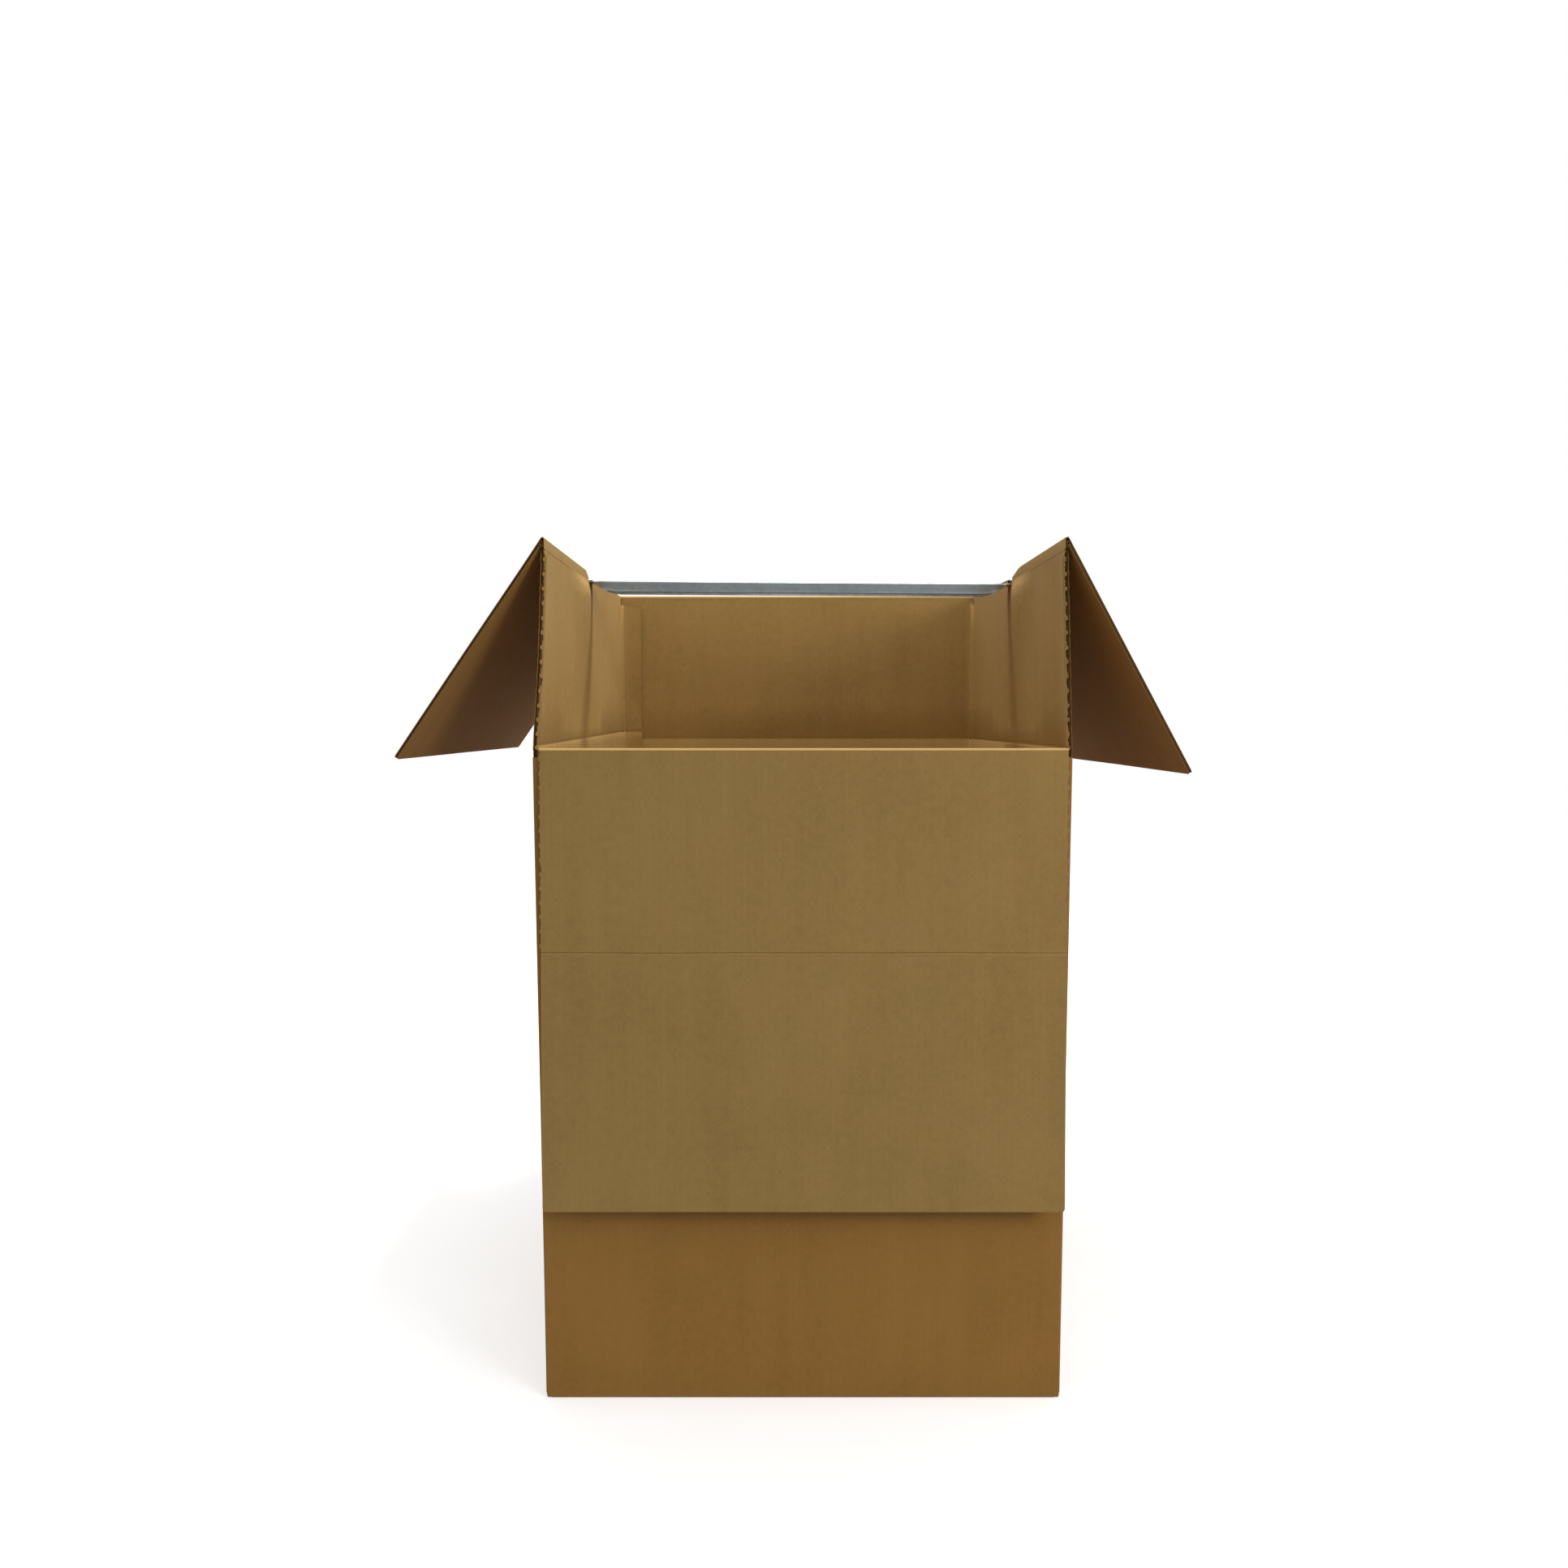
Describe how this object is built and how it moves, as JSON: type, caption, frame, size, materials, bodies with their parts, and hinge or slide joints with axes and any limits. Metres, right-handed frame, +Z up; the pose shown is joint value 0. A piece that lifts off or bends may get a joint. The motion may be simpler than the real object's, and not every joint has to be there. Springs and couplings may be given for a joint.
{
  "type": "wardrobe moving carton",
  "caption": "Tall corrugated wardrobe carton standing open: drop-down front panel, four top flaps and a steel hanging rail across the top.",
  "frame": {"origin": "centre of the base, on the floor", "axes": "+Z up, -Y to the front, where the drop-down panel hangs, +X to the right as seen from the front"},
  "size_m": [0.9463, 0.8016, 1.0157],
  "materials": {
    "kraft_outer": "brown kraft liner, outside of the board",
    "kraft_inner": "paler kraft liner, inside of the board",
    "galvanised_steel": "satin galvanised sheet"
  },
  "bodies": {
    "carton": {"carton_body": "kraft_outer", "hanger_bar": "galvanised_steel"},
    "front_panel": {"front_door": "kraft_inner"},
    "front_flap": {"front_top_flap": "kraft_inner"},
    "left_flap": {"left_top_flap": "kraft_inner"},
    "right_flap": {"right_top_flap": "kraft_inner"},
    "back_flap": {"back_top_flap": "kraft_inner"}
  },
  "joints": [
    {"name": "front_panel_fold", "type": "hinge", "parent": "carton", "child": "front_panel", "pos_m": [0, -0.30935, 0.779], "axis": [-1, 0, 0], "range_deg": [-1.8, 177.6]},
    {"name": "front_flap_fold", "type": "hinge", "parent": "front_panel", "child": "front_flap", "pos_m": [0, -0.32345, 0.54639], "axis": [-1, 0, 0], "range_deg": [0, 90]},
    {"name": "left_flap_fold", "type": "hinge", "parent": "carton", "child": "left_flap", "pos_m": [-0.30375, 0, 1.0117], "axis": [-0.0172, 0.9999, 0], "range_deg": [-30.7, 235.3]},
    {"name": "right_flap_fold", "type": "hinge", "parent": "carton", "child": "right_flap", "pos_m": [0.30445, 0, 1.0117], "axis": [-0.0149, -0.9999, 0], "range_deg": [-24.9, 241.1]},
    {"name": "back_flap_fold", "type": "hinge", "parent": "carton", "child": "back_flap", "pos_m": [0, 0.309, 1.016], "axis": [1, 0, 0], "range_deg": [-28, 240]}
  ]
}
